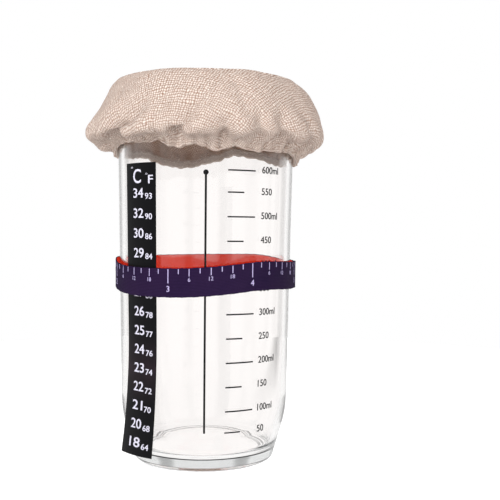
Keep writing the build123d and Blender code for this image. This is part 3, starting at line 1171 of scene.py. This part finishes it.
def thread_tubes(name, paths, radius):
    """Short threads as closed tubes of six sides along paths, each a row of points."""
    sides = 6
    points, faces = [], []
    for path in paths:
        path = np.asarray(path)
        along = np.gradient(path, axis=0)
        along /= np.linalg.norm(along, axis=1)[:, None]
        outward = path * (1, 1, 0)
        outward /= np.linalg.norm(outward, axis=1)[:, None]
        side = np.cross(along, outward)
        start = sum(len(p) for p in points)
        taper = np.sin(np.linspace(0.35, math.pi - 0.35, len(path)))[:, None] ** 0.4
        rings = [
            path + radius * taper * (math.cos(a) * outward + math.sin(a) * side)
            for a in np.arange(sides) * math.tau / sides
        ]
        points.append(np.stack(rings, axis=1).reshape(-1, 3))
        faces += [tuple(start + i for i in f) for f in ring_faces(len(path), sides)]
        faces.append(tuple(start + i for i in reversed(range(sides))))
        faces.append(tuple(start + (len(path) - 1) * sides + i for i in range(sides)))
    return mesh_piece(name, np.concatenate(points), faces)


def sewing_thread(name, colour):
    """Spun polyester thread, twisted from two plies. It is matt, with a fine slanting twist whose
    grooves get painted shade.
    """
    material = start_material(name)
    twist_length = 0.35 * MM
    place = add_node(material, "ShaderNodeTexCoord")
    twist = add_node(
        material,
        "ShaderNodeTexWave",
        {"Vector": place.outputs["Object"], "Scale": 0.3 / twist_length, "Distortion": 1.5},
        bands_direction="DIAGONAL",
    )
    # Painted shade: the colour falls to 0.7 of itself along the twist's grooves
    shade = add_node(
        material,
        "ShaderNodeMix",
        {0: twist.outputs["Fac"], 6: (*[c * 0.7 for c in colour], 1), 7: (*colour, 1)},
        data_type="RGBA",
    )
    thread = add_node(
        material,
        "ShaderNodeBsdfPrincipled",
        {"Base Color": shade.outputs[2], "Roughness": 0.8, "Specular IOR Level": 0.2},
    )
    add_node(material, "ShaderNodeOutputMaterial", {"Surface": thread})
    return material


# The operators, one for each piece or group of like pieces


class DressGlass(bpy.types.Operator):
    """Turns the glass jar and gives it clear, smooth glass"""

    bl_idname = "starter_jar.glass"
    bl_label = "Glass jar"

    def execute(self, context):
        settings = context.scene.starter_jar_glass
        jar = turned("glass_jar", glass_outline(settings), settings.segments)
        give(jar, moulded_glass(settings))
        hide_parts("jar_glass")
        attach(jar, "jar")
        return {"FINISHED"}


class DressPrint(bpy.types.Operator):
    """Inks the marks and the feeding line, and prints the volume figures"""

    bl_idname = "starter_jar.print"
    bl_label = "Volume scale and feeding line"

    def execute(self, context):
        settings = context.scene.starter_jar_print
        ink = printed_ink("fired_enamel_ink", tuple(settings.ink), 0.45, 0.5 * MM, 0.25)
        give(frame["nodes"]["volume_marks"], ink)
        give(frame["nodes"]["feeding_line"], ink)
        lowest_mark, mark_count = 19.1 * MM, 12
        steps = [settings.end_mark_pitch] + [settings.mark_pitch] * (mark_count - 3)
        steps.append(settings.end_mark_pitch)
        left = context.scene.starter_jar_glass.waist_radius * settings.digit_azimuth
        raised, boldness, squeeze, print_height = 0.7 * MM, 0.01, 0.97, 0.12 * MM
        words = []
        for i in range(mark_count):
            volume = 50 * (i + 1)
            body = f"{volume}ml" if volume % 100 == 0 else str(volume)
            points, faces = letter_mesh(body, settings.digit_height, boldness, squeeze)
            height = lowest_mark + sum(steps[:i]) - settings.digit_height / 2 + raised
            words.append((points, faces, left, height))
        figures = wrapped_lettering("volume_figures", words, on_glass, print_height)
        give(figures, ink)
        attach(figures, "jar")
        return {"FINISHED"}


class DressStrip(bpy.types.Operator):
    """Laminates the temperature strip and prints its figures"""

    bl_idname = "starter_jar.strip"
    bl_label = "Temperature strip"

    def execute(self, context):
        settings = context.scene.starter_jar_strip
        nodes = frame["nodes"]
        give(nodes["strip_adhesive"], plain_layer("acrylic_adhesive", linear("#E8E6E0"), 0.25, 0.9))
        give(nodes["strip_backing"], plain_layer("black_polyester_film", tuple(settings.film), 0.4))
        give(nodes["crystal_cells"], plain_layer("liquid_crystal_ink", linear("#1C1A20"), 0.5))
        give(nodes["strip_face"], laminated_film(settings))

        # Each row has its Celsius figures, and smaller ones in Fahrenheit after them
        lowest_row, row_pitch, pitch_growth = 6.02 * MM, 8.287 * MM, 0.0337 * MM
        left, small_left, small_drop = -4.0 * MM, 3.75 * MM, 0.6 * MM
        rows = {
            18: 64, 20: 68, 21: 70, 22: 72, 23: 74, 24: 76, 25: 77,
            26: 78, 27: 80, 28: 82, 29: 84, 30: 86, 32: 90, 34: 93,
        }
        pair_width, small_pair_width, boldness, print_height = 6.7 * MM, 4.0 * MM, 0.012, 0.12 * MM
        small = settings.small_digit_height
        words = []
        for i, (degrees, fahrenheit) in enumerate(rows.items()):
            base = lowest_row + i * row_pitch + i**2 * pitch_growth - settings.digit_height / 2
            for body, height, width, x, y in (
                (str(degrees), settings.digit_height, pair_width, left, base),
                (str(fahrenheit), small, small_pair_width, small_left, base - small_drop),
            ):
                points, faces = letter_mesh(body, height, boldness)
                points[:, 0] *= width / points[:, 0].max()
                words.append((points, faces, x, y))
        # The heading: each letter's height, width, left edge and foot, in millimetres
        for body, height, width, x, y in (
            ("C", 6.3, 5.3, -4.0, 124.0),
            ("o", 1.1, 1.3, -5.6, 130.7),
            ("F", 3.8, 2.6, 5.7, 123.6),
            ("o", 1.0, 1.2, 4.1, 127.6),
        ):
            points, faces = letter_mesh(body, height * MM, boldness)
            points[:, 0] *= width * MM / points[:, 0].max()
            words.append((points, faces, x * MM, y * MM))
        figures = wrapped_lettering("strip_figures", words, on_strip, print_height)
        give(figures, printed_ink("silver_screen_ink", tuple(settings.figures), 0.6, 0.4 * MM, 0.12))
        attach(figures, "jar")
        return {"FINISHED"}


class DressBand(bpy.types.Operator):
    """Weaves the feeding band's two ribbons, sews them and prints the week on them"""

    bl_idname = "starter_jar.band"
    bl_label = "Feeding band"

    def execute(self, context):
        settings = context.scene.starter_jar_band
        rib_pitch, lining_inset, seam_gap = 0.5 * MM, 0.5 * MM, 0.4 * MM
        lining = ribbon_loop(
            "band_lining_ribbon", settings, settings.width - lining_inset, 0.0, lining_thickness
        )
        give(lining, woven_ribbon("red_woven_ribbon", tuple(settings.lining), linear("#F42E14"), rib_pitch))
        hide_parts("band_lining")
        # Sewn to the face, so that it slides and turns with it
        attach(lining, "band_dial")

        face = ribbon_loop(
            "band_face_ribbon", settings, settings.width, face_lift, face_thickness, gap=seam_gap
        )
        give(face, woven_ribbon("navy_woven_ribbon", tuple(settings.outside), linear("#1D1031"), rib_pitch))
        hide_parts("band_face")

        ticks, figures = self.print_week(settings)
        stitches = self.sew_seam(settings)
        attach(face, "band_dial")
        return {"FINISHED"}

    def print_week(self, settings):
        """The time ticks and the plain numbers of days and hours, printed on the face."""
        print_radius = lining_radius + face_lift + face_thickness
        day = math.tau * print_radius / settings.day_count
        first_day = math.radians(29.2) * print_radius
        # The print hangs from the ribbon's top edge: a long tick for each day, then seven shorter
        ticks_per_day, tick_top, day_digit, hour_digit = 8, -0.35 * MM, 2.6 * MM, 1.75 * MM
        day_digit_foot, hour_digit_foot, print_height = -10.4 * MM, -6.0 * MM, 0.06 * MM
        marks, words = [], []
        for i in range(settings.day_count):
            start = first_day + i * day
            for k in range(ticks_per_day):
                length = 6.3 if k == 0 else 3.3 if k % 2 == 0 else 2.2
                width = 0.42 if k == 0 else 0.36
                bar, bar_faces = bar_drawing(width * MM, length * MM)
                marks.append((bar, bar_faces, start + k * day / ticks_per_day, tick_top))
            number = (i + 3) % settings.day_count + 1
            points, faces = letter_mesh(str(number), day_digit, 0.015)
            words.append((points, faces, start - points[:, 0].max() / 2, day_digit_foot))
            for k, hour in ((2, 6), (4, 12), (6, 18)):
                points, faces = letter_mesh(str(hour), hour_digit)
                middle = start + k * day / ticks_per_day
                words.append((points, faces, middle - points[:, 0].max() / 2, hour_digit_foot))
        ink = printed_ink("ribbon_transfer_ink", tuple(settings.scale), 0.7, 0.35 * MM, 0.0)
        ticks = wrapped_lettering("band_tick_print", marks, on_face, print_height)
        give(ticks, ink)
        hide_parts("band_ticks")
        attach(ticks, "band_dial")
        figures = wrapped_lettering("band_figures", words, on_face, print_height)
        give(figures, ink)
        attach(figures, "band_dial")
        return ticks, figures

    def sew_seam(self, settings):
        """The stitches that close the ribbons into a loop, at the back."""
        print_radius = lining_radius + face_lift + face_thickness
        stitch_count, stitch_length, stitch_slant, stitch_rise = 6, 4.0 * MM, 0.35 * MM, 0.12 * MM
        reach = math.degrees(stitch_length / 2 / print_radius)
        paths = []
        for i in range(stitch_count):
            across = settings.width * ((i + 1) / (stitch_count + 1) - 0.5)
            x = np.linspace(-1, 1, 9)
            lift = face_lift + face_thickness + stitch_rise * (1 - x**4)
            paths.append(on_band(180 + reach * x, across + stitch_slant * x, lift))
        stitches = thread_tubes("band_seam_thread", paths, 0.17 * MM)
        give(stitches, sewing_thread("navy_sewing_thread", linear("#3A2F66")))
        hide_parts("band_stitches")
        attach(stitches, "band_dial")
        return stitches


class DressCover(bpy.types.Operator):
    """Gathers the round cloth over the rim, with its casing, elastic and stitches"""

    bl_idname = "starter_jar.cover"
    bl_label = "Cloth cover"

    def execute(self, context):
        settings = context.scene.starter_jar_cover
        cloth_rows, hem_row_step = 146, 0.6
        points, flat = cover_surface(settings, cloth_rows)
        cloth = cloth_shell("cover_cloth_puff", points, flat)
        weave = plain_weave(settings)
        give(cloth, weave)
        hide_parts("cover_cloth")
        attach(cloth, "cover")

        azimuths = np.arange(settings.segments) * 360 / settings.segments - 180
        section = hem_section(azimuths, settings)
        ring = np.concatenate([on_circle(radius, azimuths, height) for radius, height in section])
        around = np.radians(azimuths) * settings.cut_radius / MM
        uv = np.concatenate(
            [
                np.stack([around, np.full_like(around, i * hem_row_step)], axis=1)
                for i in range(len(section))
            ]
        )
        casing = mesh_piece(
            "cover_hem_casing", ring, ring_faces(len(section), settings.segments, closed_rows=True), uv
        )
        give(casing, weave)
        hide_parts("cover_hem")
        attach(casing, "cover")

        elastic = self.elastic_piece()
        stitches = self.stitch_piece(points)
        return {"FINISHED"}

    def elastic_piece(self):
        """Flat braided elastic inside the casing."""
        azimuths = np.arange(360) - 180.0
        foot = hem_foot(azimuths)
        inner = glass_radius(foot) + 0.55 * MM
        thickness, bottom, top = 0.6 * MM, 0.9 * MM, 2.8 * MM
        ring = np.concatenate(
            [
                on_circle(inner + lift, azimuths, foot + level)
                for lift, level in ((0, bottom), (thickness, bottom), (thickness, top), (0, top))
            ]
        )
        piece = mesh_piece("hem_elastic", ring, ring_faces(4, 360, closed_rows=True))
        give(piece, plain_layer("braided_elastic", linear("#E6E2DA"), 0.7))
        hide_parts("cover_elastic")
        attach(piece, "cover")
        return piece

    def stitch_piece(self, points):
        """The running stitches that close the casing. They lie on the cloth, near its edge."""
        count, stitch_length, columns = 72, 2.3 * MM, points.shape[1]
        row = points[-5]
        reach = columns * stitch_length / (math.tau * rim_radius) / 2
        paths = []
        for i in range(count):
            place = columns * i / count + reach * np.linspace(-1, 1, 9)
            before = np.floor(place).astype(int)
            share = (place - before)[:, None]
            path = row[before % columns] * (1 - share) + row[(before + 1) % columns] * share
            paths.append(path * (1 + 0.08 * MM / rim_radius))
        piece = thread_tubes("hem_thread", paths, 0.14 * MM)
        give(piece, sewing_thread("beige_sewing_thread", linear("#DCC8B8")))
        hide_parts("hem_stitches")
        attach(piece, "cover")
        return piece


class BuildStage(bpy.types.Operator):
    """Lays the pale floor and sets the lamps, the background and the camera"""

    bl_idname = "starter_jar.stage"
    bl_label = "Stage"

    def execute(self, context):
        settings = context.scene.starter_jar_stage
        scene = context.scene
        floor_radius, floor_sides = 0.45, 96
        rim = on_circle(floor_radius, np.arange(floor_sides) * 360 / floor_sides, 0.0)
        floor = mesh_piece("floor", rim, [tuple(range(floor_sides))])
        give(floor, self.floor_material(settings))
        self.light_world(scene)
        # Each lamp's place and size are in metres, and its power in watts
        for name, place, size, power in (
            ("key_softbox", (-0.5, -0.85, 0.6), 0.6, 9.0),
            ("fill_softbox", (0.8, -0.6, 0.3), 0.7, 4.0),
            ("low_softbox", (-0.3, -0.9, 0.1), 0.5, 3.0),
            ("back_softbox", (0.25, 0.8, 0.7), 0.6, 5.0),
        ):
            lamp = bpy.data.lights.new(name, "AREA")
            lamp.energy = power
            lamp.size = size
            stand = bpy.data.objects.new(name, lamp)
            scene.collection.objects.link(stand)
            stand.location = place
            # The glass mirrors the backdrop and not the lamps
            stand.visible_glossy = stand.visible_transmission = False
            aim = Vector((0, 0, jar_height / 2)) - stand.location
            stand.rotation_euler = aim.to_track_quat("-Z", "Y").to_euler()
        self.set_camera(scene, settings)
        scene.view_settings.view_transform = "Standard"
        return {"FINISHED"}

    def floor_material(self, settings):
        """Matt painted board. It is pale and even, and keeps the jar's soft shadow."""
        material = start_material("matt_painted_board")
        roller_grain, shadow_lift, near_foot = 2 * MM, 0.3, 1.02
        place = add_node(material, "ShaderNodeTexCoord")
        roller = add_node(
            material,
            "ShaderNodeTexNoise",
            {"Vector": place.outputs["Object"], "Scale": 1 / roller_grain, "Detail": 2.0},
        )
        bump = add_node(
            material, "ShaderNodeBump", {"Height": roller, "Strength": 0.05, "Distance": 0.1 * MM}
        )
        board = add_node(
            material,
            "ShaderNodeBsdfPrincipled",
            {
                "Base Color": (*settings.floor, 1),
                "Roughness": 0.9,
                "Specular IOR Level": 0.0,
                "Normal": bump,
            },
        )
        # White to the eye, but for the shadow, and to rays through glass a part of the backdrop
        ray = add_node(material, "ShaderNodeLightPath")
        lifted = add_node(
            material,
            "ShaderNodeMath",
            {0: ray.outputs["Is Camera Ray"], 1: shadow_lift},
            operation="MULTIPLY",
        )
        paleness = add_node(material, "ShaderNodeEmission", {"Strength": lifted})
        painted = add_node(material, "ShaderNodeAddShader", {0: board, 1: paleness})
        through_glass, level = self.backdrop(material, place.outputs["Object"])
        # Plain round the jar's foot, and a part of the backdrop further out
        away = add_node(
            material, "ShaderNodeVectorMath", {0: place.outputs["Object"]}, operation="LENGTH"
        )
        outer = add_node(
            material,
            "ShaderNodeMapRange",
            {"Value": away.outputs["Value"], "From Min": 0.1, "From Max": 0.35},
        )
        found = add_node(material, "ShaderNodeMix", {0: outer, 2: near_foot, 3: level}, data_type="FLOAT")
        cards = add_node(material, "ShaderNodeEmission", {"Strength": found})
        mixed = add_node(material, "ShaderNodeMixShader", {0: through_glass, 1: painted, 2: cards})
        add_node(material, "ShaderNodeOutputMaterial", {"Surface": mixed})
        return material

    def backdrop(self, material, place):
        """What mirrored rays and rays through glass find: white, with soft grey uprights, as dark
        cards beside a table give them, and dimmer on the eye's side. Gives two nodes: whether
        a ray is such a ray, and the level that it finds."""
        card_count, dark_level, white_level = 8.0, 0.55, 1.07
        ray = add_node(material, "ShaderNodeLightPath")
        parts = add_node(material, "ShaderNodeSeparateXYZ", {"Vector": place})
        turn = add_node(
            material,
            "ShaderNodeMath",
            {0: parts.outputs["Y"], 1: parts.outputs["X"]},
            operation="ARCTAN2",
        )
        repeated = add_node(material, "ShaderNodeMath", {0: turn, 1: card_count}, operation="MULTIPLY")
        wave = add_node(material, "ShaderNodeMath", {0: repeated}, operation="COSINE")
        card = add_node(
            material,
            "ShaderNodeMapRange",
            {
                "Value": wave,
                "From Min": -1.0,
                "From Max": -0.5,
                "To Min": dark_level,
                "To Max": white_level,
            },
            interpolation_type="SMOOTHSTEP",
        )
        facing = add_node(material, "ShaderNodeMath", {0: turn}, operation="SINE")
        mirrored = add_node(
            material,
            "ShaderNodeMapRange",
            {"Value": facing, "From Min": -1.0, "From Max": 0.8, "To Min": 0.3, "To Max": 0.8},
        )
        # A ray that glass bends counts as glossy too, so those are taken off
        only_mirrored = add_node(
            material,
            "ShaderNodeMath",
            {0: ray.outputs["Is Glossy Ray"], 1: ray.outputs["Is Transmission Ray"]},
            operation="SUBTRACT",
            use_clamp=True,
        )
        share = add_node(
            material, "ShaderNodeMix", {0: only_mirrored, 2: 1.0, 3: mirrored}, data_type="FLOAT"
        )
        level = add_node(material, "ShaderNodeMath", {0: card, 1: share}, operation="MULTIPLY")
        either = add_node(
            material,
            "ShaderNodeMath",
            {0: ray.outputs["Is Glossy Ray"], 1: ray.outputs["Is Transmission Ray"]},
            operation="MAXIMUM",
        )
        return either, level

    def light_world(self, scene):
        """White where the camera sees it, and plain and dimmer as a lamp."""
        lamp_level = 0.66
        world = bpy.data.worlds.new("studio")
        world.use_nodes = True
        world.node_tree.nodes.clear()
        scene.world = world
        place = add_node(world, "ShaderNodeTexCoord")
        through_glass, level = self.backdrop(world, place.outputs["Generated"])
        lit = add_node(
            world, "ShaderNodeMix", {0: through_glass, 2: lamp_level, 3: level}, data_type="FLOAT"
        )
        ray = add_node(world, "ShaderNodeLightPath")
        strength = add_node(
            world, "ShaderNodeMix", {0: ray.outputs["Is Camera Ray"], 2: lit, 3: 1.0}, data_type="FLOAT"
        )
        background = add_node(
            world, "ShaderNodeBackground", {"Color": (1, 1, 1, 1), "Strength": strength}
        )
        add_node(world, "ShaderNodeOutputWorld", {"Surface": background})

    def set_camera(self, scene, settings):
        """The photograph's viewpoint: in front of the jar, a little above its middle, turned a
        little to the right of it and tipped down."""
        camera = bpy.data.objects.new("camera", bpy.data.cameras.new("camera"))
        scene.collection.objects.link(camera)
        camera.data.lens = settings.lens
        camera.data.sensor_width = 36.0
        camera.data.clip_start = 0.01
        eye = (0.0, -0.4115, 0.1105)
        turn, dip, roll = (math.radians(a) for a in (3.06, 1.37, 0.5))
        camera.matrix_world = (
            Matrix.Translation(eye)
            @ Matrix.Rotation(-turn, 4, "Z")
            @ Matrix.Rotation(math.pi / 2 - dip, 4, "X")
            @ Matrix.Rotation(roll, 4, "Z")
        )
        scene.camera = camera


class StarterJarPanel(bpy.types.Panel):
    bl_idname = "VIEW3D_PT_starter_jar"
    bl_label = "Starter jar"
    bl_space_type = "VIEW_3D"
    bl_region_type = "UI"
    bl_category = "Starter jar"

    def draw(self, context):
        for operator in operators:
            self.layout.operator(operator.bl_idname)


settings_groups = {
    "starter_jar_glass": GlassSettings,
    "starter_jar_print": PrintSettings,
    "starter_jar_strip": StripSettings,
    "starter_jar_band": BandSettings,
    "starter_jar_cover": CoverSettings,
    "starter_jar_stage": StageSettings,
}
operators = [DressGlass, DressPrint, DressStrip, DressBand, DressCover, BuildStage]


def register():
    for group in settings_groups.values():
        bpy.utils.register_class(group)
    for name, group in settings_groups.items():
        setattr(bpy.types.Scene, name, bpy.props.PointerProperty(type=group))
    for operator in operators:
        bpy.utils.register_class(operator)
    bpy.utils.register_class(StarterJarPanel)


def unregister():
    bpy.utils.unregister_class(StarterJarPanel)
    for operator in reversed(operators):
        bpy.utils.unregister_class(operator)
    for name, group in reversed(settings_groups.items()):
        delattr(bpy.types.Scene, name)
        bpy.utils.unregister_class(group)


def main():
    register()
    bpy.ops.starter_jar.glass()
    bpy.ops.starter_jar.print()
    bpy.ops.starter_jar.strip()
    bpy.ops.starter_jar.band()
    bpy.ops.starter_jar.cover()
    bpy.ops.starter_jar.stage()


if __name__ == "__main__":
    main()
